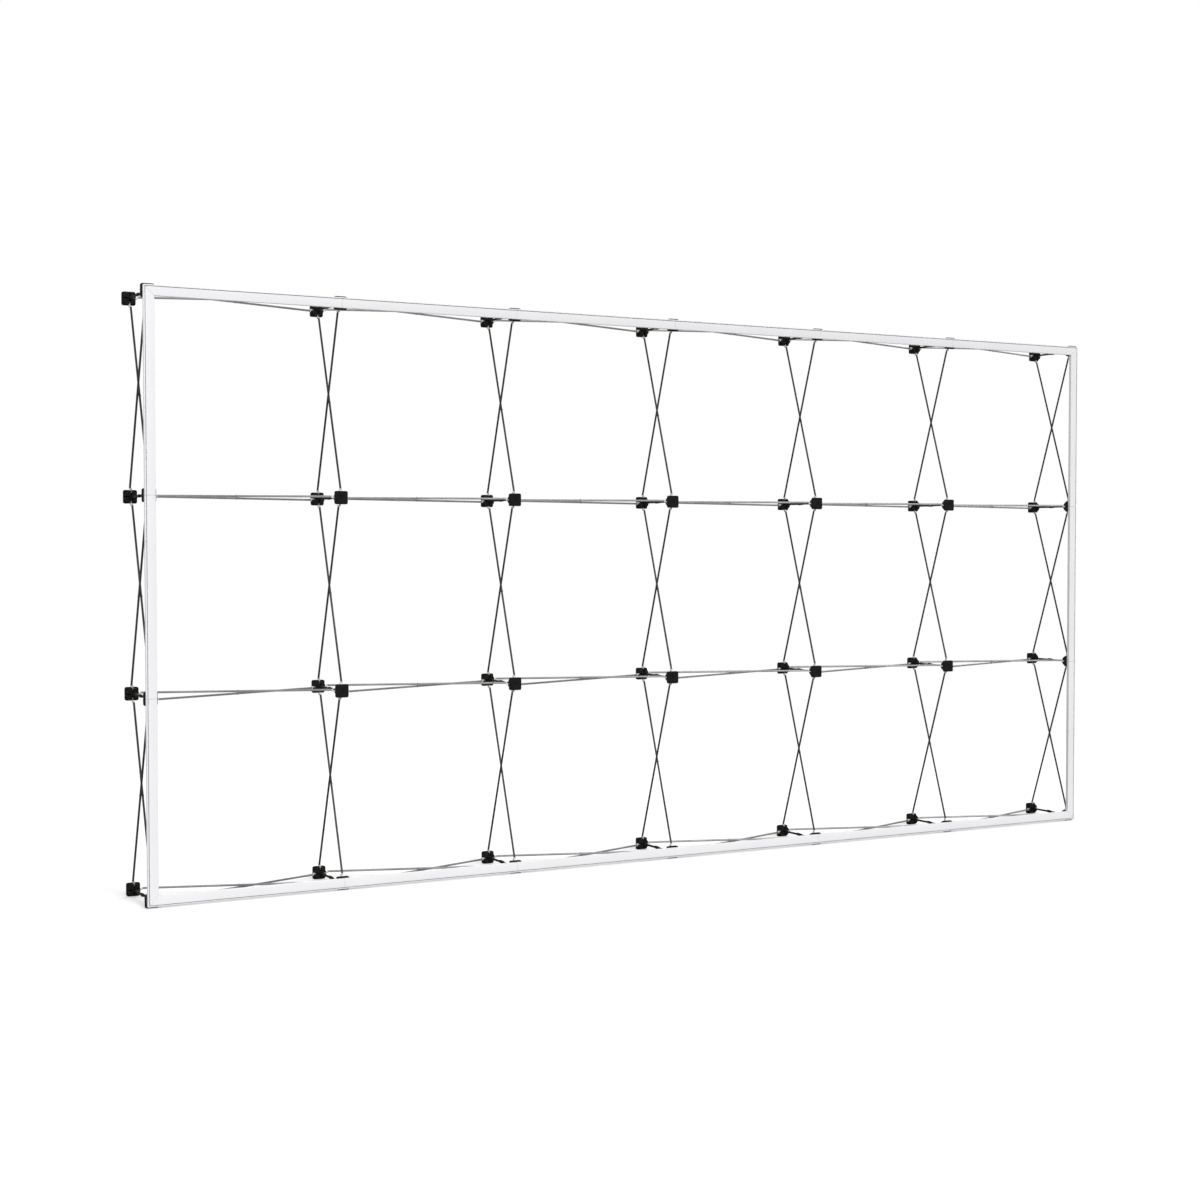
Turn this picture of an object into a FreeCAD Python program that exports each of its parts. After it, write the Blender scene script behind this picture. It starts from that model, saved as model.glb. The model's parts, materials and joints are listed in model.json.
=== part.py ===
import FreeCAD, Part
import os
import re

# A pop-up display wall: a grid of hubs in a front and a back layer, joined by crossed
# scissor tubes, held open by hook locks and rimmed by clip-on channel bars.
# Millimetres. X runs along the wall, Y from its front to its back, Z up.
# The origin lies on the floor, under the middle of the wall.

COLUMNS = 6
ROWS = 3

SIZES = {
    # The grid
    "cell": 740,
    "frame_depth": 240,
    # Hubs: a square outer plate with a slotted round boss on its inner side
    "hub_width": 51,
    "hub_corner": 7,
    "hub_outer": 16,
    "hub_inner": 14,
    "plate_thick": 11,
    "boss_foot": 49,
    "boss_face": 44,
    "core_diameter": 16,
    "slot_floor": 6.5,
    "pin_distance": 16,
    "pin_diameter": 4,
    "pin_length": 25,
    # Tubes and the moulded tips that pivot in the hubs
    "tube_diameter": 8,
    "tube_wall": 1,
    "crossing_gap": 0.6,
    "tongue_thick": 4.4,
    "tongue_width": 9,
    "collar_start": 14,
    "collar_length": 4.5,
    "collar_diameter": 9.4,
    "plug_length": 20,
    "rivet_diameter": 2.4,
    "rivet_head_diameter": 5.5,
    "rivet_head_thick": 1.2,
    # Locks: a hook on each back hub drops over a cross pin on the front hub's arm
    "pivot_out": 20,
    "pivot_diameter": 3,
    "ear_thick": 3.2,
    "ear_height": 9,
    "hook_reach": 100,
    "hook_thick": 4.6,
    "hook_height": 8,
    "hook_nose": 8,
    "hook_heel": 11,
    "hook_drop": 5.5,
    "hook_rise": 6.5,
    "catch_pin_diameter": 4,
    "catch_width": 11,
    "catch_height": 9,
    "catch_end": 5,
    "catch_rod_diameter": 7,
    "catch_neck": 6,
    "fork_depth": 12,
    "tenon_diameter": 6,
    "tenon_length": 8,
    # Channel bars along the rim, with a bead groove in front and a clip channel behind
    "bar_width": 40,
    "bar_depth": 16,
    "bar_seam": 0.6,
    "groove_width": 3,
    "groove_depth": 10,
    "groove_inset": 4,
    "channel_width": 18,
    "channel_depth": 11,
    "clip_start": 10.5,
    "clip_length": 10,
    "clip_height": 9,
    # Clearances, and how far a cutting tool runs past the face that it cuts
    "side_play": 0.3,
    "pin_play": 0.05,
    "overrun": 5,
}

doc = FreeCAD.newDocument("display_wall")
sheet = doc.addObject("Spreadsheet::Sheet", "Sizes")
for row, (alias, value) in enumerate(SIZES.items(), start=1):
    sheet.set(f"A{row}", alias)
    sheet.set(f"B{row}", str(value))
    sheet.setAlias(f"B{row}", alias)
doc.recompute()

ALONG_AXIS_SHARE = 0.9
TURN_TO_AXIS = {
    "x": FreeCAD.Rotation(FreeCAD.Vector(0, 1, 0), 90),
    "y": FreeCAD.Rotation(FreeCAD.Vector(1, 0, 0), -90),
    "z": FreeCAD.Rotation(),
}


def size(alias):
    """The number that the sheet holds for one size."""
    return float(sheet.get(alias))


def bind(solid, target, expression):
    """Tie a property to an expression written in the sheet's aliases."""
    words = r"[a-z_]+"
    named = re.sub(words, lambda word: f"Sizes.{word[0]}" if word[0] in SIZES else word[0], expression)
    solid.setExpression(target, named)


def box(name, x, y, z):
    """A box between two expressions along each axis."""
    solid = doc.addObject("Part::Box", name)
    for axis, side, (start, end) in zip("xyz", ("Length", "Width", "Height"), (x, y, z)):
        bind(solid, side, f"({end}) - ({start})")
        bind(solid, f"Placement.Base.{axis}", start)
    return solid


def middle(width):
    """A width laid half on each side of zero."""
    return f"-({width}) / 2", f"({width}) / 2"


def set_along(solid, axis, start, end, places):
    """Lay a round solid along an axis, between two places on it."""
    solid.Placement = FreeCAD.Placement(FreeCAD.Vector(), TURN_TO_AXIS[axis])
    bind(solid, "Height", f"({end}) - ({start})")
    bind(solid, f"Placement.Base.{axis}", start)
    for other, spot in places.items():
        bind(solid, f"Placement.Base.{other}", spot)


def cylinder(name, axis, diameter, start, end, **places):
    solid = doc.addObject("Part::Cylinder", name)
    bind(solid, "Radius", f"({diameter}) / 2")
    set_along(solid, axis, start, end, places)
    return solid


def cone(name, axis, first_diameter, last_diameter, start, end):
    solid = doc.addObject("Part::Cone", name)
    bind(solid, "Radius1", f"({first_diameter}) / 2")
    bind(solid, "Radius2", f"({last_diameter}) / 2")
    set_along(solid, axis, start, end, {})
    return solid


def fuse(name, *solids):
    joined = doc.addObject("Part::MultiFuse", name)
    joined.Shapes = list(solids)
    joined.Refine = True
    return joined


def cut(name, base, *tools):
    result = doc.addObject("Part::Cut", name)
    result.Base = base
    result.Tool = tools[0] if len(tools) == 1 else fuse(f"{name}_tools", *tools)
    result.Refine = True
    return result


def round_edges_along_y(name, base, radius_alias):
    """Round the edges of a solid that run from front to back."""
    doc.recompute()
    chosen = []
    for number, edge in enumerate(base.Shape.Edges, start=1):
        if abs(edge.tangentAt(edge.FirstParameter).y) > ALONG_AXIS_SHARE:
            chosen.append((number, size(radius_alias), size(radius_alias)))
    rounded = doc.addObject("Part::Fillet", name)
    rounded.Base = base
    rounded.Edges = chosen
    return rounded


# Hub, as it sits in the front layer: its outer face looks to -Y, its boss to +Y, and
# the pivots of its four tubes lie in the plane Y = 0.
def make_hub_body():
    plate_inner = "plate_thick - hub_outer"
    plate = box("hub_plate", middle("hub_width"), ("-hub_outer", plate_inner), middle("hub_width"))
    plate = round_edges_along_y("hub_plate_rounded", plate, "hub_corner")
    boss = cone("hub_boss", "y", "boss_foot", "boss_face", plate_inner, "hub_inner")
    slot_width = "tongue_thick + 2 * side_play"
    slot_ends = middle("hub_width + 2 * overrun")
    slot_height = ("-slot_floor", "hub_inner + overrun")
    hole = "pin_diameter + 2 * pin_play"
    tools = [
        box("hub_slot_across", slot_ends, slot_height, middle(slot_width)),
        box("hub_slot_upright", middle(slot_width), slot_height, slot_ends),
    ]
    for side, sign in (("plus", ""), ("minus", "-")):
        pivot = f"{sign}pin_distance"
        tools.append(cylinder(f"hub_hole_x_{side}", "z", hole, *slot_ends, x=pivot))
        tools.append(cylinder(f"hub_hole_z_{side}", "x", hole, *slot_ends, z=pivot))
    slotted = cut("hub_slotted", fuse("hub_blank", plate, boss), *tools)
    core = cylinder("hub_core", "y", "core_diameter", "-slot_floor - plate_thick / 2", "hub_inner")
    return fuse("hub_body", slotted, core)


def make_front_hub(hub_body):
    """The front hub has a round socket for the foot of the catch arm."""
    socket = cylinder("front_hub_socket", "y", "tenon_diameter + 2 * pin_play",
                      "hub_inner - tenon_length - pin_play", "hub_inner + overrun")
    return cut("front_hub", hub_body, socket)


def make_back_hub(hub_body):
    """The back hub has two ears that carry the pivot of the hook."""
    ear_inner = "hook_thick / 2 + side_play"
    ears = []
    for side, sign in (("plus", 1), ("minus", -1)):
        near, far = f"{sign} * ({ear_inner})", f"{sign} * ({ear_inner} + ear_thick)"
        start, end = (near, far) if sign > 0 else (far, near)
        ears.append(box(f"back_hub_ear_{side}", (start, end), ("0", "pivot_out"), middle("ear_height")))
        ears.append(cylinder(f"back_hub_ear_end_{side}", "x", "ear_height", start, end, y="pivot_out"))
    bore = cylinder("back_hub_pivot_bore", "x", "pivot_diameter + 2 * pin_play",
                    *middle("core_diameter + 2 * overrun"), y="pivot_out")
    gap = box("back_hub_ear_gap", middle(f"2 * ({ear_inner})"), ("hub_inner", "pivot_out + ear_height"),
              middle("ear_height + 2 * overrun"))
    return cut("back_hub", fuse("back_hub_blank", hub_body, *ears), bore, gap)


def make_pin(name, diameter, length):
    return cylinder(name, "z", diameter, *middle(length))


# A tube lies along X with its first pivot at the origin. It stands off the plane of its
# pivots along Z, so that two crossed tubes pass each other.
STAND_OFF = "(tube_diameter + crossing_gap) / 2"
COLLAR_END = "collar_start + collar_length"
SPAN = "sqrt((cell - 2 * pin_distance) * (cell - 2 * pin_distance) + frame_depth * frame_depth)"
BORE = "tube_diameter - 2 * tube_wall"


def make_tube():
    ends = (COLLAR_END, f"{SPAN} - ({COLLAR_END})")
    outer = cylinder("tube_outer", "x", "tube_diameter", *ends, z=STAND_OFF)
    bore = cylinder("tube_bore", "x", BORE, f"({ends[0]}) - overrun", f"{ends[1]} + overrun", z=STAND_OFF)
    hole = cylinder("tube_rivet_hole", "z", "rivet_diameter + 2 * pin_play",
                    *middle("2 * (tube_diameter + crossing_gap) + overrun"), x=f"{SPAN} / 2")
    return cut("tube", outer, bore, hole)


def make_tip():
    tongue = box("tip_tongue", ("0", COLLAR_END), middle("tongue_width"), middle("tongue_thick"))
    eye = cylinder("tip_eye", "z", "tongue_width", *middle("tongue_thick"))
    collar = cylinder("tip_collar", "x", "collar_diameter", "collar_start", COLLAR_END, z=STAND_OFF)
    plug = cylinder("tip_plug", "x", f"{BORE} - 2 * pin_play", COLLAR_END, f"{COLLAR_END} + plug_length",
                    z=STAND_OFF)
    hole = cylinder("tip_hole", "z", "pin_diameter + 2 * pin_play", *middle("tongue_thick + 2 * overrun"))
    return cut("tip", fuse("tip_blank", tongue, eye, collar, plug), hole)


def make_rivet():
    """The rivet where two tubes cross, with a head on the outside of each."""
    reach = "tube_diameter + crossing_gap / 2 + pin_play"
    shank = cylinder("rivet_shank", "z", "rivet_diameter", *middle(f"2 * ({reach})"))
    top = cylinder("rivet_top", "z", "rivet_head_diameter", reach, f"{reach} + rivet_head_thick")
    foot = cylinder("rivet_foot", "z", "rivet_head_diameter", f"-({reach}) - rivet_head_thick", f"-({reach})")
    return fuse("rivet", shank, top, foot)


# Lock hook: its pivot is the origin and its arm runs to -Y. The throat is an arc about
# the pivot, so the hook lifts off the catch pin without rubbing.
def make_hook():
    arm = box("hook_arm", middle("hook_thick"), ("-hook_reach", "0"), middle("hook_height"))
    eye = cylinder("hook_eye", "x", "hook_height", *middle("hook_thick"))
    head = box("hook_head", middle("hook_thick"),
               ("-hook_reach - hook_nose", "hook_heel - hook_reach"), ("-hook_drop", "hook_rise"))
    blank = fuse("hook_blank", arm, eye, head)
    throat_half = "catch_pin_diameter / 2 + side_play"
    wide = middle("hook_thick + 2 * overrun")
    ring_outer = cylinder("hook_ring_outer", "x", f"2 * (hook_reach + {throat_half})", *wide)
    ring_inner = cylinder("hook_ring_inner", "x", f"2 * (hook_reach - ({throat_half}))", *wide)
    ring = cut("hook_ring", ring_outer, ring_inner)
    mouth = box("hook_mouth", wide, ("-hook_reach - hook_nose", "hook_heel - hook_reach"),
                ("-hook_drop - overrun", throat_half))
    throat = doc.addObject("Part::MultiCommon", "hook_throat")
    throat.Shapes = [ring, mouth]
    bore = cylinder("hook_bore", "x", "pivot_diameter + 2 * pin_play", *wide)
    return cut("hook", blank, throat, bore)


# Catch arm: the front hub's pivot plane is Y = 0 and the arm runs to +Y.
CATCH_PIN_PLACE = "(frame_depth - pivot_out - hook_reach)"


def make_catch():
    head_start = f"{CATCH_PIN_PLACE} - fork_depth - catch_neck"
    head_end = f"{CATCH_PIN_PLACE} + catch_end"
    tenon = cylinder("catch_tenon", "y", "tenon_diameter", "hub_inner - tenon_length", "hub_inner")
    rod = cylinder("catch_rod", "y", "catch_rod_diameter", "hub_inner", head_start)
    head = box("catch_head", middle("catch_width"), (head_start, head_end), middle("catch_height"))
    fork = box("catch_fork", middle("hook_thick + 2 * side_play"),
               (f"{CATCH_PIN_PLACE} - fork_depth", f"{head_end} + overrun"),
               middle("catch_height + 2 * overrun"))
    hole = cylinder("catch_hole", "x", "catch_pin_diameter + 2 * pin_play",
                    *middle("catch_width + 2 * overrun"), y=CATCH_PIN_PLACE)
    return cut("catch", fuse("catch_blank", tenon, rod, head), fork, hole)


# Channel bar: along X from one hub to the next, its back on the plane Y = 0 and its
# outer edge to +Z. A bar at a corner of the wall is mitred there.
def make_bar(name, start):
    half_width = "bar_width / 2"
    ends = (start, "cell - bar_seam / 2")
    past_ends = (f"({start}) - overrun", "cell + overrun")
    blank = box(f"{name}_blank", ends, ("-bar_depth", "0"), middle("bar_width"))
    channel = box(f"{name}_channel", past_ends, ("-channel_depth", "overrun"), middle("channel_width"))
    groove_top = f"{half_width} - groove_inset"
    groove = box(f"{name}_groove", past_ends, ("-bar_depth - overrun", "groove_depth - bar_depth"),
                 (f"{groove_top} - groove_width", groove_top))
    return blank, channel, groove


def make_middle_bar():
    return cut("middle_bar", *make_bar("middle_bar", "bar_seam / 2"))


def make_first_bar():
    """The bar that starts at a corner, cut there at 45 degrees."""
    blank, channel, groove = make_bar("first_bar", "-bar_width / 2")
    knife = box("first_bar_knife", ("0", "2 * bar_width"), ("-bar_depth - overrun", "overrun"),
                ("0", "4 * bar_width"))
    knife.Placement = FreeCAD.Placement(FreeCAD.Vector(), FreeCAD.Rotation(FreeCAD.Vector(0, 1, 0), -45))
    bind(knife, "Placement.Base.x", "bar_seam / 2 / sqrt(2)")
    bind(knife, "Placement.Base.z", "bar_seam / 2 / sqrt(2) - 4 * bar_width / sqrt(2)")
    return cut("first_bar", blank, channel, groove, knife)


def make_last_bar(first_bar):
    mirrored = doc.addObject("Part::Mirroring", "last_bar")
    mirrored.Source = first_bar
    mirrored.Normal = FreeCAD.Vector(1, 0, 0)
    bind(mirrored, "Base.x", "cell / 2")
    return mirrored


def make_clip():
    return box("clip", ("clip_start", "clip_start + clip_length"), ("-clip_height", "0"),
               middle("channel_width - 2 * side_play"))


hub_body = make_hub_body()
front_hub = make_front_hub(hub_body)
back_hub = make_back_hub(hub_body)
hub_pin = make_pin("hub_pin", "pin_diameter", "pin_length")
pivot_pin = make_pin("pivot_pin", "pivot_diameter", "hook_thick + 2 * side_play + 2 * ear_thick")
catch_pin = make_pin("catch_pin", "catch_pin_diameter", "catch_width")
tube = make_tube()
tip = make_tip()
rivet = make_rivet()
hook = make_hook()
catch = make_catch()
first_bar = make_first_bar()
middle_bar = make_middle_bar()
last_bar = make_last_bar(first_bar)
clip = make_clip()
doc.recompute()

# Places in the grid
cell = size("cell")
pin_distance = size("pin_distance")
front_y = (size("bar_depth") - size("frame_depth")) / 2
back_y = front_y + size("frame_depth")
bar_y = front_y - size("hub_outer")
pivot_y = back_y - size("pivot_out")
catch_pin_y = pivot_y - size("hook_reach")
TURNED_TO_X = TURN_TO_AXIS["x"]
HALF_TURN = FreeCAD.Rotation(FreeCAD.Vector(0, 0, 1), 180)
NO_TURN = FreeCAD.Rotation()
ACROSS = FreeCAD.Vector(1, 0, 0)
UP = FreeCAD.Vector(0, 0, 1)


def hub_point(column, level, y):
    x = (column - COLUMNS / 2) * cell
    return FreeCAD.Vector(x, y, size("hub_width") / 2 + level * cell)


def grid(y):
    """Every hub's centre in one layer, level by level from the floor."""
    return [hub_point(column, level, y) for level in range(ROWS + 1) for column in range(COLUMNS + 1)]


def place(point, turn=NO_TURN):
    return FreeCAD.Placement(point, turn)


def along(start, end, stand_off):
    """The placement of a tube from one pivot to the other, standing off to one side."""
    forward = (end - start).normalize()
    return place(start, FreeCAD.Rotation(forward, stand_off.cross(forward), stand_off, "XZY"))


def crossed_pair(first_hubs, last_hubs, towards, normal):
    """The two crossed tubes between neighbouring hub pairs, as (start, end, side) rows."""
    inset = towards * pin_distance
    front_first, back_first = (point + inset for point in first_hubs)
    front_last, back_last = (point - inset for point in last_hubs)
    return [(back_first, front_last, normal), (front_first, back_last, -normal)]


def hub_pair(column, level):
    return hub_point(column, level, front_y), hub_point(column, level, back_y)


level_spans = []
for level in range(ROWS + 1):
    for column in range(COLUMNS):
        level_spans += crossed_pair(hub_pair(column, level), hub_pair(column + 1, level), ACROSS, UP)

upright_spans = []
for column in range(COLUMNS + 1):
    for level in range(ROWS):
        upright_spans += crossed_pair(hub_pair(column, level), hub_pair(column, level + 1), UP, -ACROSS)

nodes = []


def add_node(label, master, places):
    """One sub-part: copies of a master solid at the given places."""
    copies = []
    for placement in places:
        copy = master.Shape.copy()
        copy.Placement = placement.multiply(master.Placement)
        copies.append(copy)
    node = doc.addObject("Part::Feature", label)
    node.Label = label
    node.Shape = Part.makeCompound(copies)
    nodes.append(node)


def tube_places(spans):
    return [along(*span) for span in spans]


def tip_places(spans):
    return tube_places(spans) + [along(end, start, side) for start, end, side in spans]


def pin_places(spans, turn):
    return [place(point, turn) for start, end, side in spans for point in (start, end)]


def rivet_places(spans, turn):
    return [place((start + end) / 2, turn) for start, end, side in spans[::2]]


add_node("front_hubs", front_hub, [place(point) for point in grid(front_y)])
add_node("back_hubs", back_hub, [place(point, HALF_TURN) for point in grid(back_y)])
add_node("level_tubes", tube, tube_places(level_spans))
add_node("upright_tubes", tube, tube_places(upright_spans))
add_node("level_tube_tips", tip, tip_places(level_spans))
add_node("upright_tube_tips", tip, tip_places(upright_spans))
add_node("level_hub_pins", hub_pin, pin_places(level_spans, NO_TURN))
add_node("upright_hub_pins", hub_pin, pin_places(upright_spans, TURNED_TO_X))
add_node("level_rivets", rivet, rivet_places(level_spans, NO_TURN))
add_node("upright_rivets", rivet, rivet_places(upright_spans, TURNED_TO_X))
add_node("lock_catches", catch, [place(point) for point in grid(front_y)])
add_node("lock_catch_pins", catch_pin, [place(point, TURNED_TO_X) for point in grid(catch_pin_y)])
add_node("lock_pivot_pins", pivot_pin, [place(point, TURNED_TO_X) for point in grid(pivot_y)])

for level in range(ROWS + 1):
    for column in range(COLUMNS + 1):
        spot = place(hub_point(column, level, pivot_y))
        add_node(f"lock_hook_level_{level + 1}_column_{column + 1}", hook, [spot])

# The rim runs round the wall from its top left corner, seen from the front.
clip_to_far_end = FreeCAD.Vector(cell - 2 * size("clip_start") - size("clip_length"), 0, 0)
clip_places = []
for side, count, quarter, column, level in (
    ("top", COLUMNS, 0, 0, ROWS),
    ("right", ROWS, 1, COLUMNS, ROWS),
    ("bottom", COLUMNS, 2, COLUMNS, 0),
    ("left", ROWS, 3, 0, 0),
):
    turn = FreeCAD.Rotation(FreeCAD.Vector(0, 1, 0), 90 * quarter)
    corner = hub_point(column, level, bar_y)
    for number in range(count):
        master = first_bar if number == 0 else last_bar if number == count - 1 else middle_bar
        spot = place(corner + turn.multVec(ACROSS) * (cell * number), turn)
        add_node(f"{side}_bar_{number + 1}", master, [spot])
        clip_places += [spot, spot.multiply(place(clip_to_far_end))]
add_node("bar_clips", clip, clip_places)

doc.recompute()
for item in doc.Objects:
    if "Invalid" in item.State or "Error" in item.State:
        raise RuntimeError(f"{item.Label} failed to build")
for node in nodes:
    if node.Shape.isNull() or not node.Shape.isValid():
        raise RuntimeError(f"{node.Label} has no valid shape")

os.makedirs("parts", exist_ok=True)
for node in nodes:
    node.Shape.exportStep(f"parts/{node.Label}.step")
    print(node.Label, len(node.Shape.Solids), round(node.Shape.Volume))
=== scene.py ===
# %% [markdown]
# # A pop-up display wall
# The wall is an open frame: two layers of black hubs, crossed grey tubes between them,
# a small hook lock at every hub, and a rim of white channel bars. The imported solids
# give every piece its place and its size. This lesson dresses them: rounded mouldings
# for the hubs, tips and locks, soft edges on the bars, and a finish on each surface.

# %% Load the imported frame
import json
import math

import bpy
from mathutils import Matrix, Vector


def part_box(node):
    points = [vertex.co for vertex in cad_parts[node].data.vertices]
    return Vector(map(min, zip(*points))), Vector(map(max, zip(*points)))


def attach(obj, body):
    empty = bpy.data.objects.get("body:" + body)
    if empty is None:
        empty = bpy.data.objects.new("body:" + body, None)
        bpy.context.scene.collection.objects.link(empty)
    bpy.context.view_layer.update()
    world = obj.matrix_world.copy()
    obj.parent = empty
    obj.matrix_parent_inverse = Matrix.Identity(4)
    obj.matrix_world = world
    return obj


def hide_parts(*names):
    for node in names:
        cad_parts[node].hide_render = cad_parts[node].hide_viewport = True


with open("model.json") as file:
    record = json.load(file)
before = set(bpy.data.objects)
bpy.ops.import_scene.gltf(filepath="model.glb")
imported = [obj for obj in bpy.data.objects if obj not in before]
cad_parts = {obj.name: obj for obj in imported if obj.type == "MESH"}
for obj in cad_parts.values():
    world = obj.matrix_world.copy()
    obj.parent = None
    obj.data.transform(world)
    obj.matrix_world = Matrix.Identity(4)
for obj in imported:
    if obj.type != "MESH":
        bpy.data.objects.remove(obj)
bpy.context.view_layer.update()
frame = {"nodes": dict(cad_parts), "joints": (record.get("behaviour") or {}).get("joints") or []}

MM = 0.001

# %% [markdown]
# The grid is read from the frame and not typed again. Each lock hook turns on a hinge
# whose place is known, so the hinges give the columns and the levels. The two hub
# layers follow from the hub solids: their outer faces are the ends of their boxes.

# %% Find the grid
HUB_OUTER = 16 * MM
PIVOT_OUT = 20 * MM
HOOK_NAME = "lock_hook"
hook_pivots = {
    joint["child"]: Vector(joint["pos_m"])
    for joint in frame["joints"]
    if joint["child"].startswith(HOOK_NAME)
}
column_places = sorted({round(pivot.x, 4) for pivot in hook_pivots.values()})
level_places = sorted({round(pivot.z, 4) for pivot in hook_pivots.values()})
front_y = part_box("front_hubs")[0].y + HUB_OUTER
back_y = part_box("back_hubs")[1].y - HUB_OUTER
depth = back_y - front_y
cell = column_places[1] - column_places[0]
print("columns:", len(column_places), "levels:", len(level_places), "cell:", round(cell, 3))


def grid(y):
    """Every grid point of one layer, level by level from the floor."""
    return [Vector((x, y, z)) for z in level_places for x in column_places]


# %% [markdown]
# Every operator in Blender works on what is selected, so one helper picks exactly the
# pieces that the next step is about. The others add a primitive at its size and place,
# carve one piece with another, and soften edges the way a mould or a die leaves them.

# %% Helpers for modelling by hand
AXIS_TURNS = {"x": (0, math.pi / 2, 0), "y": (-math.pi / 2, 0, 0), "z": (0, 0, 0)}
SMOOTH_ANGLE = math.radians(32)
ROD_SIDES = 24


def pick(*pieces):
    """Select these pieces and nothing else."""
    bpy.ops.object.select_all(action="DESELECT")
    for piece in pieces:
        piece.select_set(True)
    bpy.context.view_layer.objects.active = pieces[0]


def settle(name):
    """Name the new primitive and put its place and size into its mesh."""
    piece = bpy.context.object
    piece.name = name
    pick(piece)
    bpy.ops.object.transform_apply(location=True, rotation=True, scale=True)
    return piece


def block(name, x, y, z):
    """A box between two places along each axis."""
    sides = (x, y, z)
    middle = [(start + end) / 2 for start, end in sides]
    scale = [end - start for start, end in sides]
    bpy.ops.mesh.primitive_cube_add(size=1, location=middle, scale=scale)
    return settle(name)


def rod(name, axis, diameter, start, end, sides=ROD_SIDES, at=(0, 0, 0)):
    """A round bar along one axis, between two places on it."""
    middle = Vector(at)
    middle["xyz".index(axis)] = (start + end) / 2
    bpy.ops.mesh.primitive_cylinder_add(vertices=sides, radius=diameter / 2, depth=end - start,
                                        location=middle, rotation=AXIS_TURNS[axis])
    return settle(name)


def cone(name, axis, first_diameter, last_diameter, start, end, sides):
    """A tapered round bar along one axis."""
    middle = Vector((0, 0, 0))
    middle["xyz".index(axis)] = (start + end) / 2
    first_radius = first_diameter / 2
    last_radius = last_diameter / 2
    bpy.ops.mesh.primitive_cone_add(vertices=sides, radius1=first_radius, radius2=last_radius,
                                    depth=end - start, location=middle, rotation=AXIS_TURNS[axis])
    return settle(name)


def apply(piece, modifier):
    """Work a modifier into the mesh of its piece."""
    pick(piece)
    bpy.ops.object.modifier_apply(modifier=modifier.name)


def combine(piece, tool, operation):
    """Join a tool to a piece or carve it away, and throw the tool out."""
    modifier = piece.modifiers.new(operation.lower(), "BOOLEAN")
    modifier.operation = operation
    modifier.solver = "EXACT"
    modifier.object = tool
    apply(piece, modifier)
    bpy.data.objects.remove(tool)
    return piece


def join(piece, *tools):
    """Join tools to a piece, one after the other."""
    for tool in tools:
        combine(piece, tool, "UNION")
    return piece


def carve(piece, *tools):
    """Carve tools out of a piece, one after the other."""
    for tool in tools:
        combine(piece, tool, "DIFFERENCE")
    return piece


def smooth(piece):
    """Shade a piece smooth where its faces meet at a low angle."""
    pick(piece)
    bpy.ops.object.shade_smooth_by_angle(angle=SMOOTH_ANGLE)
    return piece


def soften(piece, width, segments=2):
    """Round every sharp edge of a piece."""
    modifier = piece.modifiers.new("soften", "BEVEL")
    modifier.width = width
    modifier.segments = segments
    modifier.limit_method = "ANGLE"
    modifier.angle_limit = SMOOTH_ANGLE
    apply(piece, modifier)
    return smooth(piece)


def copy_to(master, name, placement):
    """A copy of a finished piece with its own mesh, moved to its place in that mesh."""
    piece = master.copy()
    piece.data = master.data.copy()
    piece.data.transform(placement)
    piece.name = name
    bpy.context.scene.collection.objects.link(piece)
    return piece


def set_out(master, name, placements):
    """One piece made of a master's copies at many places."""
    copies = [copy_to(master, f"{name}_copy", placement) for placement in placements]
    pick(*copies)
    bpy.ops.object.join()
    piece = bpy.context.object
    piece.name = name
    bpy.data.objects.remove(master)
    print(name, "copies:", len(copies), "faces:", len(piece.data.polygons))
    return piece


def dress(piece, material, slot, body, *nodes):
    """Give a piece its finish, the body that it moves with and the solids that it stands for."""
    piece.data.materials.clear()
    piece.data.materials.append(material)
    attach(piece, body)
    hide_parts(*nodes)


# %% [markdown]
# ## Finishes
# Moulded plastic is never one flat colour: the mould's texture breaks up its gloss, and
# handling leaves paler and duller patches. Drawn tube and extruded bar carry fine
# lines along their length from the die. Each of these effects is used by more than one
# finish, so each is a node group: a fine grain, die lines that follow the piece's UV
# map, and a slow mottling that shifts the colour over the length of the wall.

# %% Shared effects
def start_group(name, inputs, outputs):
    """An empty node group with named inputs (with starting values) and outputs."""
    group = bpy.data.node_groups.new(name, "ShaderNodeTree")
    for label, kind, value in inputs:
        socket = group.interface.new_socket(name=label, in_out="INPUT", socket_type=kind)
        socket.default_value = value
    for label, kind in outputs:
        group.interface.new_socket(name=label, in_out="OUTPUT", socket_type=kind)
    source = group.nodes.new("NodeGroupInput")
    target = group.nodes.new("NodeGroupOutput")
    return group, source, target


def add(tree, kind, **values):
    """A node with some of its properties or input values set by name."""
    node = tree.nodes.new(kind)
    for label, value in values.items():
        socket = label.replace("_", " ").title()
        if socket in node.inputs:
            node.inputs[socket].default_value = value
        else:
            setattr(node, label, value)
    return node


def make_grain_group():
    """Fine grain of a mould: a height for bump and a mask for gloss."""
    group, source, target = start_group(
        "grain",
        [("Grains per Metre", "NodeSocketFloat", 900.0)],
        [("Height", "NodeSocketFloat"), ("Mask", "NodeSocketFloat")],
    )
    links = group.links
    place = add(group, "ShaderNodeTexCoord")
    noise = add(group, "ShaderNodeTexNoise", detail=4.0, roughness=0.6)
    pits = add(group, "ShaderNodeTexVoronoi", feature="SMOOTH_F1")
    blend = add(group, "ShaderNodeMath", operation="MULTIPLY")
    for texture in (noise, pits):
        links.new(place.outputs["Object"], texture.inputs["Vector"])
        links.new(source.outputs["Grains per Metre"], texture.inputs["Scale"])
    links.new(noise.outputs["Fac"], blend.inputs[0])
    links.new(pits.outputs["Distance"], blend.inputs[1])
    links.new(blend.outputs[0], target.inputs["Height"])
    links.new(noise.outputs["Fac"], target.inputs["Mask"])
    return group


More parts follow.
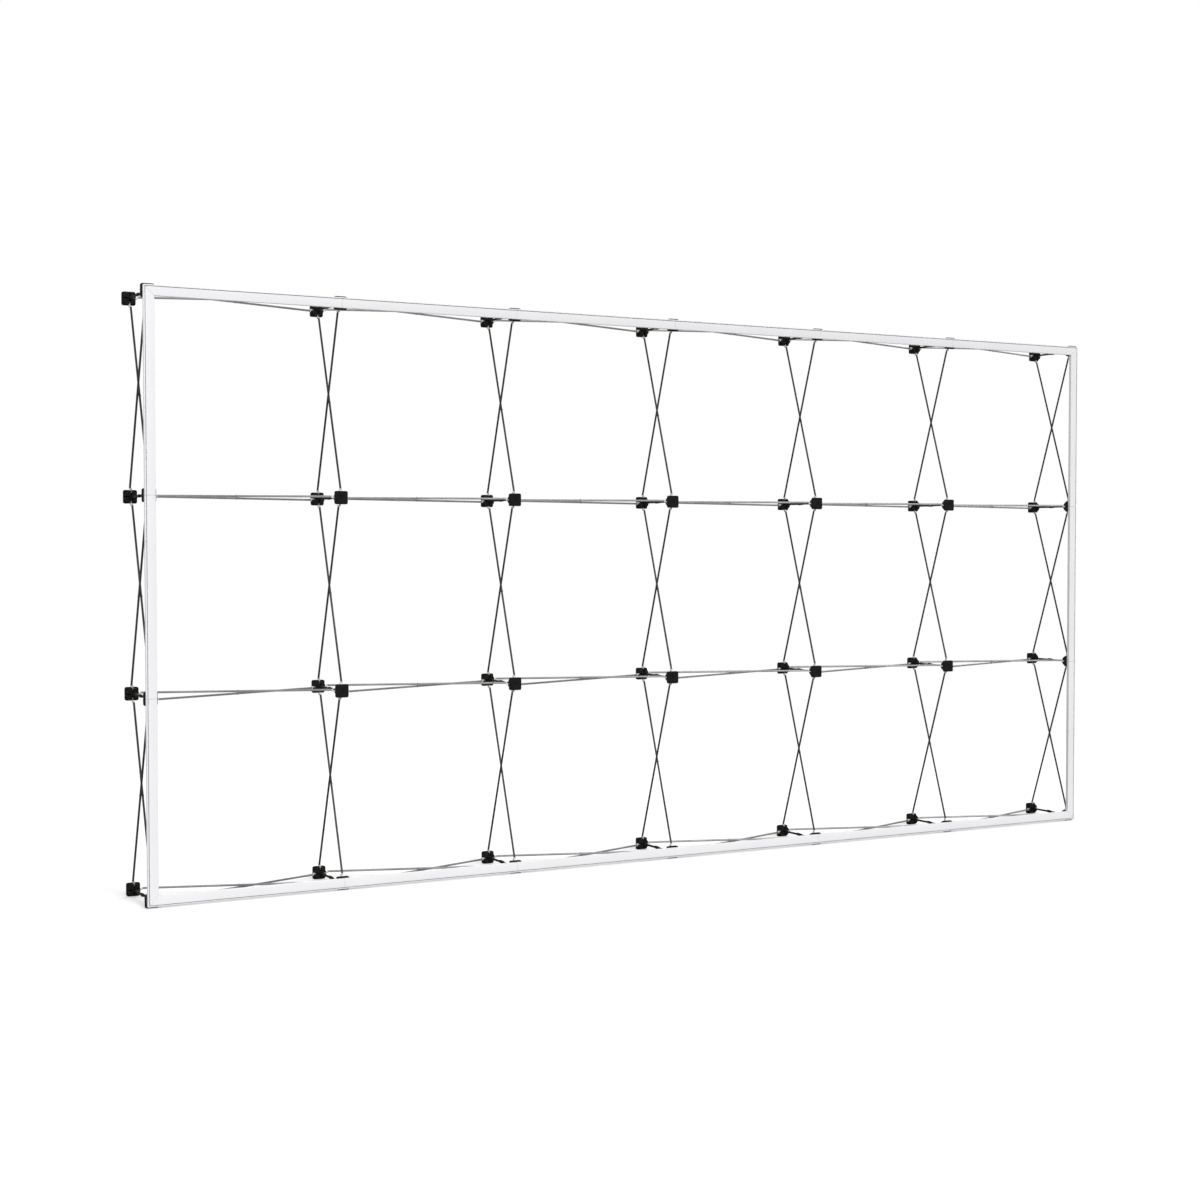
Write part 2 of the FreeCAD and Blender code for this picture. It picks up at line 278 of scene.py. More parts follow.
def make_lines_group():
    """Die lines: noise drawn out along the piece, as a height and a mask."""
    group, source, target = start_group(
        "die_lines",
        [("Lines", "NodeSocketVector", (40.0, 2.0, 1.0))],
        [("Height", "NodeSocketFloat"), ("Mask", "NodeSocketFloat")],
    )
    links = group.links
    place = add(group, "ShaderNodeUVMap", uv_map="UVMap")
    stretch = add(group, "ShaderNodeVectorMath", operation="MULTIPLY")
    noise = add(group, "ShaderNodeTexNoise", scale=1.0, detail=1.0, roughness=0.5)
    links.new(place.outputs["UV"], stretch.inputs[0])
    links.new(source.outputs["Lines"], stretch.inputs[1])
    links.new(stretch.outputs["Vector"], noise.inputs["Vector"])
    links.new(noise.outputs["Fac"], target.inputs["Height"])
    links.new(noise.outputs["Fac"], target.inputs["Mask"])
    return group


def make_mottle_group():
    """Slow mottling: a colour that drifts between two tones, and its mask."""
    group, source, target = start_group(
        "mottle",
        [("Patches per Metre", "NodeSocketFloat", 9.0),
         ("Tone", "NodeSocketColor", (0.5, 0.5, 0.5, 1)),
         ("Worn Tone", "NodeSocketColor", (0.6, 0.6, 0.6, 1))],
        [("Color", "NodeSocketColor"), ("Mask", "NodeSocketFloat")],
    )
    links = group.links
    place = add(group, "ShaderNodeTexCoord")
    noise = add(group, "ShaderNodeTexNoise", detail=5.0, roughness=0.62)
    ramp = add(group, "ShaderNodeMapRange", from_min=0.35, from_max=0.68)
    tones = add(group, "ShaderNodeMix", data_type="RGBA")
    links.new(place.outputs["Object"], noise.inputs["Vector"])
    links.new(source.outputs["Patches per Metre"], noise.inputs["Scale"])
    links.new(noise.outputs["Fac"], ramp.inputs["Value"])
    links.new(ramp.outputs["Result"], tones.inputs["Factor"])
    links.new(source.outputs["Tone"], tones.inputs["A"])
    links.new(source.outputs["Worn Tone"], tones.inputs["B"])
    links.new(tones.outputs["Result"], target.inputs["Color"])
    links.new(ramp.outputs["Result"], target.inputs["Mask"])
    return group


grain_group = make_grain_group()
lines_group = make_lines_group()
mottle_group = make_mottle_group()


# %% [markdown]
# A finish is then a Principled shader whose colour comes from the mottling, whose
# roughness runs between two values, and whose bump comes from the grain or the die
# lines. Numbers that are the same all over sit on the shader itself.

# %% Build the finishes
def place_group(tree, group, label, value):
    """One of the shared effects in a finish, with one of its inputs set."""
    node = add(tree, "ShaderNodeGroup", node_tree=group)
    node.inputs[label].default_value = value
    return node


def make_finish(name, tone, worn_tone, patches, rough, bump_height, grains=None, lines=None,
                metallic=0.0, specular=0.5):
    """A finish with a mould's grain or with a die's lines."""
    material = bpy.data.materials.new(name)
    material.use_nodes = True
    tree = material.node_tree
    shader = tree.nodes["Principled BSDF"]
    shader.inputs["Metallic"].default_value = metallic
    shader.inputs["Specular IOR Level"].default_value = specular
    mottle = place_group(tree, mottle_group, "Patches per Metre", patches)
    mottle.inputs["Tone"].default_value = (*tone, 1)
    mottle.inputs["Worn Tone"].default_value = (*worn_tone, 1)
    if lines:
        surface = place_group(tree, lines_group, "Lines", lines)
    else:
        surface = place_group(tree, grain_group, "Grains per Metre", grains)
    gloss = add(tree, "ShaderNodeMapRange", to_min=rough[0], to_max=rough[1])
    bump = add(tree, "ShaderNodeBump", strength=0.5, distance=bump_height)
    links = tree.links
    links.new(mottle.outputs["Color"], shader.inputs["Base Color"])
    links.new(surface.outputs["Mask"], gloss.inputs["Value"])
    links.new(gloss.outputs["Result"], shader.inputs["Roughness"])
    links.new(surface.outputs["Height"], bump.inputs["Height"])
    links.new(bump.outputs["Normal"], shader.inputs["Normal"])
    print("finish:", name, "tones:", tone, worn_tone)
    return material


TUBE_LINES = (16, 2, 1)
BAR_LINES = (2, 120, 1)
hub_black = make_finish(
    "hub_black", tone=(0.003, 0.003, 0.0034), worn_tone=(0.008, 0.008, 0.0085), patches=40,
    rough=(0.58, 0.80), bump_height=0.15 * MM, grains=1400, specular=0.1)
lock_black = make_finish(
    "lock_black", tone=(0.003, 0.003, 0.003), worn_tone=(0.009, 0.0085, 0.0085), patches=45,
    rough=(0.55, 0.78), bump_height=0.12 * MM, grains=1600, specular=0.12)
# The level tubes are the same tubes as the uprights. Their much lighter tones are painted highlight:
# the light that falls on their tops is painted into their colour.
level_tube_painted_highlight = make_finish(
    "level_tube_painted_highlight", tone=(0.160, 0.158, 0.160), worn_tone=(0.250, 0.247, 0.250), patches=7,
    rough=(0.36, 0.50), bump_height=0.015 * MM, lines=TUBE_LINES, metallic=0.9)
upright_tube_grey = make_finish(
    "upright_tube_grey", tone=(0.022, 0.022, 0.023), worn_tone=(0.042, 0.042, 0.044), patches=7,
    rough=(0.36, 0.50), bump_height=0.015 * MM, lines=TUBE_LINES, metallic=0.9)
tip_cream = make_finish(
    "tip_cream", tone=(0.60, 0.55, 0.45), worn_tone=(0.74, 0.70, 0.60), patches=60,
    rough=(0.38, 0.58), bump_height=0.12 * MM, grains=1500)
pin_steel = make_finish(
    "pin_steel", tone=(0.42, 0.42, 0.43), worn_tone=(0.56, 0.56, 0.57), patches=90,
    rough=(0.22, 0.40), bump_height=0.03 * MM, grains=2400, metallic=1.0)
bar_white = make_finish(
    "bar_white", tone=(0.83, 0.83, 0.85), worn_tone=(0.86, 0.86, 0.878), patches=5,
    rough=(0.36, 0.52), bump_height=0.02 * MM, lines=BAR_LINES, specular=0.4)

# %% [markdown]
# ## Hubs
# A hub is one black moulding: a square plate with round corners outside, and a tapered
# boss inside with a cross of slots in which the tips of the tubes swing. It could be
# sculpted, but its faces are all flat or round, so it is joined from a bevelled block
# and a cone, carved with two bars, and its edges are softened last.

# %% Model one hub
HUB_WIDTH = 51 * MM
HUB_CORNER = 7 * MM
HUB_INNER = 14 * MM
PLATE_THICK = 11 * MM
BOSS_FOOT = 49 * MM
BOSS_FACE = 44 * MM
CORE_DIAMETER = 16 * MM
SLOT_WIDTH = 5 * MM
SLOT_FLOOR = 6.5 * MM
DIMPLE_DIAMETER = 15 * MM
DIMPLE_DEPTH = 2 * MM
RIB_DIAMETER = 6 * MM
BOSS_SIDES = 40
CORNER_STEPS = 6
OVERRUN = 5 * MM
OVERLAP = 1 * MM
PLATE_INNER = PLATE_THICK - HUB_OUTER
ALONG_AXIS_SHARE = 0.9


def bevel_edges_along(piece, axis, width, segments):
    """Round the edges that run along one axis, in edit mode."""
    pick(piece)
    bpy.ops.object.mode_set(mode="EDIT")
    bpy.ops.mesh.select_mode(type="EDGE")
    bpy.ops.mesh.select_all(action="DESELECT")
    bpy.ops.object.mode_set(mode="OBJECT")
    points = piece.data.vertices
    for edge in piece.data.edges:
        line = points[edge.vertices[1]].co - points[edge.vertices[0]].co
        edge.select = abs(line.normalized()["xyz".index(axis)]) > ALONG_AXIS_SHARE
    bpy.ops.object.mode_set(mode="EDIT")
    bpy.ops.mesh.bevel(offset=width, segments=segments)
    bpy.ops.object.mode_set(mode="OBJECT")


def make_hub(name):
    """A hub at the origin, with its plate towards -Y and its boss towards +Y."""
    half = HUB_WIDTH / 2
    hub = block(name, (-half, half), (-HUB_OUTER, PLATE_INNER), (-half, half))
    bevel_edges_along(hub, "y", HUB_CORNER, CORNER_STEPS)
    join(hub, cone("boss", "y", BOSS_FOOT, BOSS_FACE, PLATE_INNER - OVERLAP, HUB_INNER, BOSS_SIDES))
    past = (-half - OVERRUN, half + OVERRUN)
    slot_sides = (-SLOT_WIDTH / 2, SLOT_WIDTH / 2)
    slot_depth = (-SLOT_FLOOR, HUB_INNER + OVERRUN)
    level_slot = block("slot", past, slot_depth, slot_sides)
    upright_slot = block("slot", slot_sides, slot_depth, past)
    carve(hub, level_slot, upright_slot)
    join(hub, rod("core", "y", CORE_DIAMETER, -SLOT_FLOOR - OVERRUN, HUB_INNER))
    carve(hub, rod("dimple", "y", DIMPLE_DIAMETER, -HUB_OUTER - OVERRUN, DIMPLE_DEPTH - HUB_OUTER))
    rib_face = DIMPLE_DEPTH / 2 - HUB_OUTER
    join(hub, rod("rib", "y", RIB_DIAMETER, rib_face, DIMPLE_DEPTH + OVERLAP - HUB_OUTER))
    return hub


# %% [markdown]
# A back hub also has two ears, which hold the pivot of the lock hook. An ear is a block
# with a round end. It is joined on before the edges are softened, so that the moulding
# has the same soft edge all over. The finished hubs are then copied along both layers.

# %% Set out the two layers of hubs
EAR_GAP = 5.2 * MM
EAR_THICK = 3.2 * MM
EAR_HEIGHT = 9 * MM
HUB_SOFTNESS = 0.7 * MM
half_turn = Matrix.Rotation(math.pi, 4, "Z")


def make_ear(side):
    """One ear, to the right or to the left of the hook."""
    near, far = sorted((side * EAR_GAP / 2, side * (EAR_GAP / 2 + EAR_THICK)))
    ear = block("ear", (near, far), (0, PIVOT_OUT), (-EAR_HEIGHT / 2, EAR_HEIGHT / 2))
    return join(ear, rod("ear_end", "x", EAR_HEIGHT, near, far, at=(0, PIVOT_OUT, 0)))


front_hub = soften(make_hub("front_hub"), HUB_SOFTNESS)
back_hub = soften(join(make_hub("back_hub"), make_ear(1), make_ear(-1)), HUB_SOFTNESS)
front_spots = [Matrix.Translation(spot) for spot in grid(front_y)]
back_spots = [Matrix.Translation(spot) @ half_turn for spot in grid(back_y)]
front_hubs = set_out(front_hub, "front_hub_mouldings", front_spots)
back_hubs = set_out(back_hub, "back_hub_mouldings", back_spots)
dress(front_hubs, hub_black, "hub_black", "frame", "front_hubs")
dress(back_hubs, hub_black, "hub_black", "frame", "back_hubs")

# %% [markdown]
# ## Tubes and tips
# Each tube is a plain drawn tube, so the work is in its ends: a cream moulded tip plugs
# into it, narrows to a flat tongue and turns on a pin in the hub. Two crossed tubes
# stand off their common plane by half a tube each, and a rivet holds them where they
# cross. One tube and one tip are modelled along X and then set out span by span.

# %% Find the spans
PIN_DISTANCE = 16 * MM
ACROSS = Vector((1, 0, 0))
UP = Vector((0, 0, 1))


def crossed_pair(first, last, towards, normal):
    """The two crossed tubes between two hub pairs, as start, end and side."""
    inset = towards * PIN_DISTANCE
    front, back = Vector((0, front_y, 0)), Vector((0, back_y, 0))
    return [
        (first + back + inset, last + front - inset, normal),
        (first + front + inset, last + back - inset, -normal),
    ]


level_spans = []
for z in level_places:
    for x in column_places[:-1]:
        level_spans += crossed_pair(Vector((x, 0, z)), Vector((x + cell, 0, z)), ACROSS, UP)
upright_spans = []
for x in column_places:
    for z in level_places[:-1]:
        upright_spans += crossed_pair(Vector((x, 0, z)), Vector((x, 0, z + cell)), UP, -ACROSS)
span = (level_spans[0][1] - level_spans[0][0]).length
print("spans:", len(level_spans), len(upright_spans), "pivot to pivot:", round(span, 4))


def along(start, end, side):
    """The placement of a piece made along X, from one pivot towards the other."""
    forward = (end - start).normalized()
    turn = Matrix((forward, side.cross(forward), side)).transposed().to_4x4()
    return Matrix.Translation(start) @ turn


def both_ends(spans):
    """The placements of a tip at both ends of every span."""
    starts = [along(start, end, side) for start, end, side in spans]
    ends = [along(end, start, side) for start, end, side in spans]
    return starts + ends


# %% [markdown]
# There are nearly two hundred tips, and each is smaller than a thumbnail, so a tip has
# only a few dozen faces: a block for the tongue, a short round bar for its eye and
# another for the collar, whose rims are softened because they are what shows.

# %% Model a tube and a tip
TUBE_DIAMETER = 8 * MM
TUBE_SIDES = 20
TUBE_SOFTNESS = 0.25 * MM
CROSSING_GAP = 0.6 * MM
STAND_OFF = (TUBE_DIAMETER + CROSSING_GAP) / 2
TONGUE_THICK = 4.4 * MM
TONGUE_WIDTH = 9 * MM
COLLAR_START = 14 * MM
COLLAR_END = 18.5 * MM
COLLAR_DIAMETER = 9.4 * MM
TIP_SIDES = 12
TIP_SOFTNESS = 0.5 * MM


def make_tube():
    """A tube along X between the collars of its two tips."""
    tube = rod("tube", "x", TUBE_DIAMETER, COLLAR_END, span - COLLAR_END, TUBE_SIDES, (0, 0, STAND_OFF))
    return soften(tube, TUBE_SOFTNESS, 1)


def make_tip():
    """A tip along X, with its pivot at the origin."""
    half = TONGUE_THICK / 2
    width = TONGUE_WIDTH / 2
    tongue = block("tip", (0, COLLAR_END - OVERLAP), (-width, width), (-half, half))
    eye = rod("eye", "z", TONGUE_WIDTH, -half, half, TIP_SIDES)
    collar = rod("collar", "x", COLLAR_DIAMETER, COLLAR_START, COLLAR_END, TIP_SIDES, (0, 0, STAND_OFF))
    return smooth(join(tongue, eye, soften(collar, TIP_SOFTNESS, 1)))


level_tubes = set_out(make_tube(), "level_tube_lengths", [along(*row) for row in level_spans])
upright_tubes = set_out(make_tube(), "upright_tube_lengths", [along(*row) for row in upright_spans])
dress(level_tubes, level_tube_painted_highlight, "tube_grey", "frame", "level_tubes")
dress(upright_tubes, upright_tube_grey, "tube_grey", "frame", "upright_tubes")
level_tips = set_out(make_tip(), "level_tip_mouldings", both_ends(level_spans))
upright_tips = set_out(make_tip(), "upright_tip_mouldings", both_ends(upright_spans))
dress(level_tips, tip_cream, "tip_cream", "frame", "level_tube_tips")
dress(upright_tips, tip_cream, "tip_cream", "frame", "upright_tube_tips")

# %% [markdown]
# A rivet's heads are low domes. They could be cut from spheres, but a short cylinder
# whose rim is bevelled in three steps looks the same and has fewer faces.

# %% Rivet the crossings
RIVET_HEAD_DIAMETER = 5.5 * MM
RIVET_HEAD_THICK = 1.2 * MM
RIVET_SHANK_DIAMETER = 2.4 * MM
RIVET_ROUNDING = 0.54 * MM
RIVET_STEPS = 3
SHANK_SIDES = 12
HEAD_SIDES = 14
rivet_reach = TUBE_DIAMETER + CROSSING_GAP / 2


def make_rivet():
    """A rivet along Z through both tubes of a crossing."""
    shank_reach = rivet_reach + OVERLAP / 2
    rivet = rod("rivet", "z", RIVET_SHANK_DIAMETER, -shank_reach, shank_reach, SHANK_SIDES)
    for side in (1, -1):
        ends = sorted((side * rivet_reach, side * (rivet_reach + RIVET_HEAD_THICK)))
        head = rod("head", "z", RIVET_HEAD_DIAMETER, *ends, HEAD_SIDES)
        join(rivet, soften(head, RIVET_ROUNDING, RIVET_STEPS))
    return smooth(rivet)


def crossings(spans, turn):
    """The middle of every crossed pair, with the rivet turned to its axis."""
    return [Matrix.Translation((start + end) / 2) @ turn for start, end, side in spans[::2]]


quarter_turn = Matrix.Rotation(math.pi / 2, 4, "Y")
level_rivets = set_out(make_rivet(), "level_rivet_domes", crossings(level_spans, Matrix()))
upright_rivets = set_out(make_rivet(), "upright_rivet_domes", crossings(upright_spans, quarter_turn))
dress(level_rivets, pin_steel, "pin_steel", "frame", "level_rivets")
dress(upright_rivets, pin_steel, "pin_steel", "frame", "upright_rivets")

# %% [markdown]
# ## Locks
# A lock runs straight from a back hub to its front hub. Its back half is a hook on a
# pivot, and its front half is a round arm with a fork and a cross pin. Every hook moves
# by itself, so each is a piece of its own that rides on its own body. The hook is joined
# from blocks around its pivot and carved with a throat that drops over the cross pin.

# %% Model the hooks
HOOK_REACH = 100 * MM
HOOK_THICK = 4.6 * MM
HOOK_HEIGHT = 8 * MM
HOOK_NOSE = 8 * MM
HOOK_HEEL = 11 * MM
HOOK_DROP = 5.5 * MM
HOOK_RISE = 6.5 * MM
THROAT_HALF = 2.3 * MM
PIVOT_BORE = 3.1 * MM
HOOK_SIDES = 20
BORE_SIDES = 16
HOOK_SOFTNESS = 0.5 * MM


def make_hook():
    """A hook with its pivot at the origin, which reaches towards -Y."""
    thick = (-HOOK_THICK / 2, HOOK_THICK / 2)
    hook = block("hook", thick, (-HOOK_REACH, 0), (-HOOK_HEIGHT / 2, HOOK_HEIGHT / 2))
    eye = rod("eye", "x", HOOK_HEIGHT, *thick, HOOK_SIDES)
    head_ends = (-HOOK_REACH - HOOK_NOSE, HOOK_HEEL - HOOK_REACH)
    head = block("head", thick, head_ends, (-HOOK_DROP, HOOK_RISE))
    wide = (-HOOK_THICK, HOOK_THICK)
    throat_ends = (-HOOK_REACH - THROAT_HALF, THROAT_HALF - HOOK_REACH)
    throat = block("throat", wide, throat_ends, (-HOOK_DROP - OVERRUN, 0))
    throat_top = rod("throat_top", "x", 2 * THROAT_HALF, *wide, HOOK_SIDES, (0, -HOOK_REACH, 0))
    bore = rod("bore", "x", PIVOT_BORE, *wide, BORE_SIDES)
    return soften(carve(join(hook, eye, head), throat, throat_top, bore), HOOK_SOFTNESS)


hook_master = make_hook()
for node, pivot in hook_pivots.items():
    hook = copy_to(hook_master, f"{node}_moulding", Matrix.Translation(pivot))
    dress(hook, lock_black, "lock_black", node, node)
bpy.data.objects.remove(hook_master)
print("hooks:", len(hook_pivots))

# %% [markdown]
# The catch half never moves against its hub, so all the arms are one piece. An arm is a
# round bar with a block for its head, and the head is carved with the gap of the fork.

# %% Model the catch arms
CATCH_WIDTH = 11 * MM
CATCH_HEIGHT = 9 * MM
CATCH_END = 5 * MM
CATCH_ROD_DIAMETER = 7 * MM
CATCH_NECK = 6 * MM
CATCH_SIDES = 20
FORK_DEPTH = 12 * MM
FORK_WIDTH = 5.2 * MM
catch_pin_place = depth - PIVOT_OUT - HOOK_REACH


def make_catch():
    """A catch arm that reaches towards +Y from the middle of its hub."""
    head_start = catch_pin_place - FORK_DEPTH - CATCH_NECK
    head_end = catch_pin_place + CATCH_END
    width, height = CATCH_WIDTH / 2, CATCH_HEIGHT / 2
    arm_ends = (HUB_INNER - OVERLAP, head_start + OVERLAP)
    arm = rod("catch", "y", CATCH_ROD_DIAMETER, *arm_ends, CATCH_SIDES)
    head = block("head", (-width, width), (head_start, head_end), (-height, height))
    fork_ends = (catch_pin_place - FORK_DEPTH, head_end + OVERRUN)
    fork = block("fork", (-FORK_WIDTH / 2, FORK_WIDTH / 2), fork_ends, (-CATCH_HEIGHT, CATCH_HEIGHT))
    return soften(carve(join(arm, head), fork), HOOK_SOFTNESS)


catches = set_out(make_catch(), "catch_arm_mouldings", front_spots)
dress(catches, lock_black, "lock_black", "frame", "lock_catches")

# %% [markdown]
# ## Channel bars
# The rim is white extruded bar with a clip channel behind and a thin groove near its
# outer edge in front, where a fabric panel's bead is pressed in. At the corners of the
# wall the bars are cut at 45 degrees. A bar starts as a block along X whose long edges
# are rounded. It is carved, cut with bisect, and its sharp cut edges are eased a little.
# A box unwrap lays U along the bar, so that the die lines follow it to every side.

# %% Model the three kinds of bar
BAR_WIDTH = 40 * MM
BAR_DEPTH = 16 * MM
BAR_SEAM = 0.6 * MM
GROOVE_WIDTH = 3 * MM
GROOVE_DEPTH = 10 * MM
GROOVE_INSET = 4 * MM
CHANNEL_WIDTH = 18 * MM
CHANNEL_DEPTH = 11 * MM
BAR_ROUNDING = 1.6 * MM
BAR_STEPS = 3
BAR_SOFTNESS = 0.3 * MM


def mitre(bar, corner_x, lean):
    """Cut the end of a bar at 45 degrees, through a point on its middle line."""
    pick(bar)
    bpy.ops.object.mode_set(mode="EDIT")
    bpy.ops.mesh.select_all(action="SELECT")
    bpy.ops.mesh.bisect(plane_co=(corner_x, 0, 0), plane_no=(lean, 0, 1),
                        use_fill=True, clear_inner=True)
    bpy.ops.object.mode_set(mode="OBJECT")


def unwrap(piece):
    """A box unwrap at one UV unit per metre."""
    pick(piece)
    bpy.ops.object.mode_set(mode="EDIT")
    bpy.ops.mesh.select_all(action="SELECT")
    bpy.ops.uv.cube_project(cube_size=1.0)
    bpy.ops.object.mode_set(mode="OBJECT")
    return piece


def make_bar(name, start_mitred, end_mitred):
    """A bar of one cell along X from the origin, with its front towards -Y."""
    half = BAR_WIDTH / 2
    start = -half if start_mitred else BAR_SEAM / 2
    end = cell + half if end_mitred else cell - BAR_SEAM / 2
    bar = block(name, (start, end), (-BAR_DEPTH, 0), (-half, half))
    bevel_edges_along(bar, "x", BAR_ROUNDING, BAR_STEPS)
    past = (start - OVERRUN, end + OVERRUN)
    channel_sides = (-CHANNEL_WIDTH / 2, CHANNEL_WIDTH / 2)
    groove_top = half - GROOVE_INSET
    groove_sides = (groove_top - GROOVE_WIDTH, groove_top)
    channel = block("channel", past, (-CHANNEL_DEPTH, OVERRUN), channel_sides)
    groove = block("groove", past, (-BAR_DEPTH - OVERRUN, GROOVE_DEPTH - BAR_DEPTH), groove_sides)
    carve(bar, channel, groove)
    seam = BAR_SEAM / math.sqrt(2)
    if start_mitred:
        mitre(bar, seam, 1)
    if end_mitred:
        mitre(bar, cell - seam, -1)
    return unwrap(soften(bar, BAR_SOFTNESS, 1))


first_bar = make_bar("first_bar", start_mitred=True, end_mitred=False)
middle_bar = make_bar("middle_bar", start_mitred=False, end_mitred=False)
last_bar = make_bar("last_bar", start_mitred=False, end_mitred=True)
print("faces of the bars:", [len(bar.data.polygons) for bar in (first_bar, middle_bar, last_bar)])

# %% [markdown]
# The rim runs round the wall from its top left corner, seen from the front. Each side is
# the same row of bars turned by a quarter, with the corner bars at its ends. Every bar
# pulls off its clips by itself, so each is a piece of its own.

# %% Turn the bars to their sides of the wall
bar_y = front_y - HUB_OUTER
left, right = column_places[0], column_places[-1]
bottom, top = level_places[0], level_places[-1]
SIDES = {
    "top": (0, Vector((left, bar_y, top)), len(column_places) - 1),
    "right": (1, Vector((right, bar_y, top)), len(level_places) - 1),
    "bottom": (2, Vector((right, bar_y, bottom)), len(column_places) - 1),
    "left": (3, Vector((left, bar_y, bottom)), len(level_places) - 1),
}
for side, (quarter, corner, count) in SIDES.items():
    turn = Matrix.Rotation(quarter * math.pi / 2, 4, "Y")
    masters = [first_bar] + [middle_bar] * (count - 2) + [last_bar]
    for number, master in enumerate(masters):
        node = f"{side}_bar_{number + 1}"
        spot = corner + turn.to_3x3() @ ACROSS * (cell * number)
        bar = copy_to(master, f"{node}_extrusion", Matrix.Translation(spot) @ turn)
        dress(bar, bar_white, "bar_white", node, node)
for master in (first_bar, middle_bar, last_bar):
    bpy.data.objects.remove(master)
print("bars set:", sum(count for quarter, corner, count in SIDES.values()))

# %% [markdown]
# ## Pins and clips
# The steel pins in the hubs and locks are plain round bars, and the clips sit behind the
# rim. They are right as solids, so they stay and only get a finish.

# %% Finish the solids that stay
KEPT_SOLIDS = {
    pin_steel: ("level_hub_pins", "upright_hub_pins", "lock_catch_pins", "lock_pivot_pins"),
    hub_black: ("bar_clips",),
}
for material, names in KEPT_SOLIDS.items():
    for name in names:
        solid = frame["nodes"][name].data
        solid.materials.clear()
        solid.materials.append(material)
        print("solid that stays:", name)

# %% [markdown]
# ## Studio
# The wall stands on a pale floor in soft light. The floor and the surroundings look
# white to the camera and in reflections, while less light than that falls on the wall,
# so that its white bars stay just darker than what is behind them.

# %% Floor and surroundings
FLOOR_SIZE = 160
FLOOR_FADE = (3.0, 6.0)
FLOOR_PAINT = (0.8, 0.8, 0.8, 1)
FLOOR_BOUNCE = (0.32, 0.32, 0.32, 1)
FLOOR_GLOW = 0.3
WHITE = (1, 1, 1, 1)
WORLD_LIGHT = 0.5


def seen_directly(tree):
    """A mask of the rays that show the background: from the camera, a gloss or a glass."""
    path = add(tree, "ShaderNodeLightPath")
    first = add(tree, "ShaderNodeMath", operation="MAXIMUM")
    both = add(tree, "ShaderNodeMath", operation="MAXIMUM")
    tree.links.new(path.outputs["Is Camera Ray"], first.inputs[0])
    tree.links.new(path.outputs["Is Glossy Ray"], first.inputs[1])
    tree.links.new(first.outputs[0], both.inputs[0])
    tree.links.new(path.outputs["Is Transmission Ray"], both.inputs[1])
    return both.outputs[0]


def mix_shaders(tree, factor, first, second):
    """A blend of two shaders, from the first at 0 to the second at 1."""
    mix = add(tree, "ShaderNodeMixShader")
    tree.links.new(factor, mix.inputs[0])
    tree.links.new(first.outputs[0], mix.inputs[1])
    tree.links.new(second.outputs[0], mix.inputs[2])
    return mix


def make_floor():
    """A floor that takes the wall's shadow nearby and runs out into plain white."""
    bpy.ops.mesh.primitive_plane_add(size=FLOOR_SIZE)
    floor = settle("floor")
    material = bpy.data.materials.new("floor_white")
    material.use_nodes = True
    tree = material.node_tree
    tree.nodes.clear()
    output = add(tree, "ShaderNodeOutputMaterial")
    paint = add(tree, "ShaderNodeBsdfDiffuse", color=FLOOR_PAINT)
    glow = add(tree, "ShaderNodeEmission", strength=FLOOR_GLOW)
    lit_paint = add(tree, "ShaderNodeAddShader")
    tree.links.new(paint.outputs[0], lit_paint.inputs[0])
    tree.links.new(glow.outputs[0], lit_paint.inputs[1])
    white = add(tree, "ShaderNodeEmission", strength=1.0)
    bounce = add(tree, "ShaderNodeBsdfDiffuse", color=FLOOR_BOUNCE)
    place = add(tree, "ShaderNodeTexCoord")
    distance = add(tree, "ShaderNodeVectorMath", operation="LENGTH")
    fade = add(tree, "ShaderNodeMapRange", from_min=FLOOR_FADE[0], from_max=FLOOR_FADE[1])
    tree.links.new(place.outputs["Object"], distance.inputs[0])
    tree.links.new(distance.outputs["Value"], fade.inputs["Value"])
    seen = mix_shaders(tree, fade.outputs["Result"], lit_paint, white)
    surface = mix_shaders(tree, seen_directly(tree), bounce, seen)
    tree.links.new(surface.outputs[0], output.inputs["Surface"])
    floor.data.materials.append(material)


def make_world():
    """Even light from all round, which looks white where it is seen directly."""
    world = bpy.data.worlds.new("studio")
    bpy.context.scene.world = world
    world.use_nodes = True
    tree = world.node_tree
    tree.nodes.clear()
    output = add(tree, "ShaderNodeOutputWorld")
    lit = add(tree, "ShaderNodeBackground", color=WHITE, strength=WORLD_LIGHT)
    seen = add(tree, "ShaderNodeBackground", color=WHITE, strength=1.0)
    surface = mix_shaders(tree, seen_directly(tree), lit, seen)
    tree.links.new(surface.outputs[0], output.inputs["Surface"])


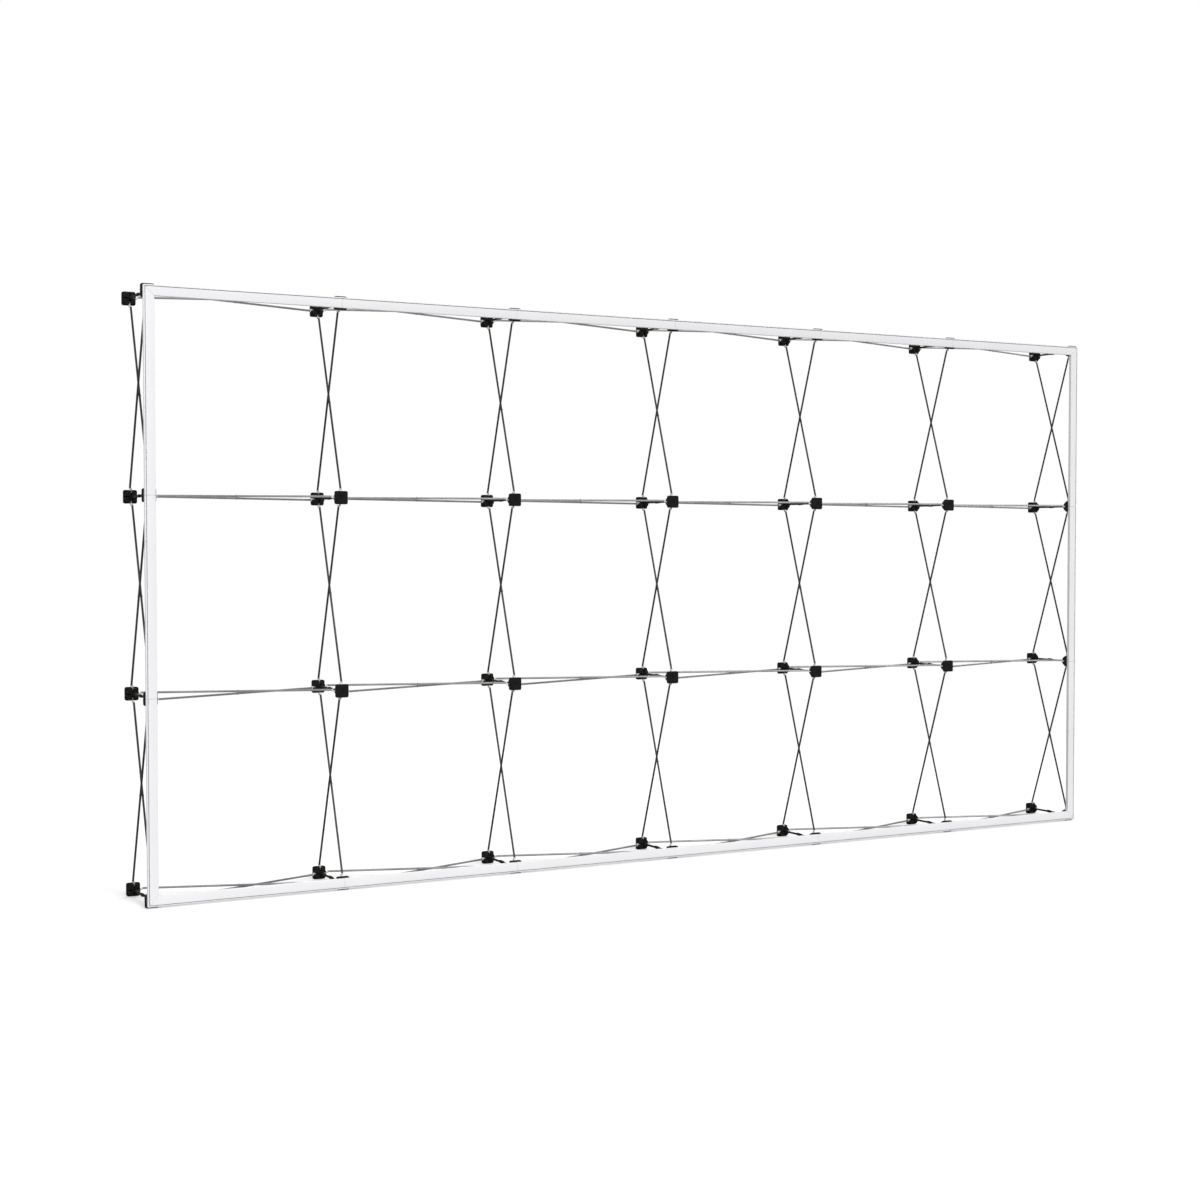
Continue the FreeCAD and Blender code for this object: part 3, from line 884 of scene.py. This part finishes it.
make_floor()
make_world()
print("floor:", FLOOR_SIZE, "m wide, light from all round:", WORLD_LIGHT)

# %% [markdown]
# One far, wide light from the front falls evenly on the whole rim. Lamps near a wall
# this long would leave one end darker than the other, so the three that are added stand
# well away, and only lift the sides and the back.

# %% Lamps
WALL_MIDDLE = Vector((0, 0, (bottom + top) / 2))


def add_lamp(name, place, sides, power):
    """A soft rectangular lamp that faces the middle of the wall."""
    bpy.ops.object.light_add(type="AREA", location=place)
    lamp = bpy.context.object
    lamp.name = name
    lamp.data.shape = "RECTANGLE"
    lamp.data.size, lamp.data.size_y = sides
    lamp.data.energy = power
    lamp.rotation_euler = (WALL_MIDDLE - Vector(place)).to_track_quat("-Z", "Y").to_euler()


def add_main_light(strength, spread, height, sideways):
    """A far, wide light from the front, which falls evenly on the whole wall."""
    bpy.ops.object.light_add(type="SUN", rotation=(math.pi / 2 - height, 0, sideways))
    light = bpy.context.object
    light.name = "front"
    light.data.energy = strength
    light.data.angle = spread


add_main_light(strength=1.9, spread=math.radians(18), height=math.radians(28), sideways=math.radians(3))
add_lamp("left", place=(-8.0, -3.0, 3.0), sides=(3.0, 3.0), power=120)
add_lamp("right", place=(9.0, 1.5, 5.0), sides=(3.0, 3.0), power=120)
add_lamp("back", place=(1.0, 6.0, 4.5), sides=(4.0, 4.0), power=90)

# %% [markdown]
# ## Camera
# The camera stands to the left of the wall's front at chest height. Its place, aim and
# focal length were fitted to the hubs of the photograph.

# %% Place the camera
CAMERA_PLACE = (-4.051, -6.822, 1.335)
CAMERA_AZIMUTH = math.radians(-28.92)
CAMERA_ELEVATION = math.radians(1.78)
CAMERA_LENS = 55.73
camera_turn = (math.pi / 2 - CAMERA_ELEVATION, 0, CAMERA_AZIMUTH)
bpy.ops.object.camera_add(location=CAMERA_PLACE, rotation=camera_turn)
camera = bpy.context.object
camera.data.lens = CAMERA_LENS
camera.data.clip_end = 2 * FLOOR_SIZE
bpy.context.scene.camera = camera
bpy.context.scene.view_settings.view_transform = "Standard"
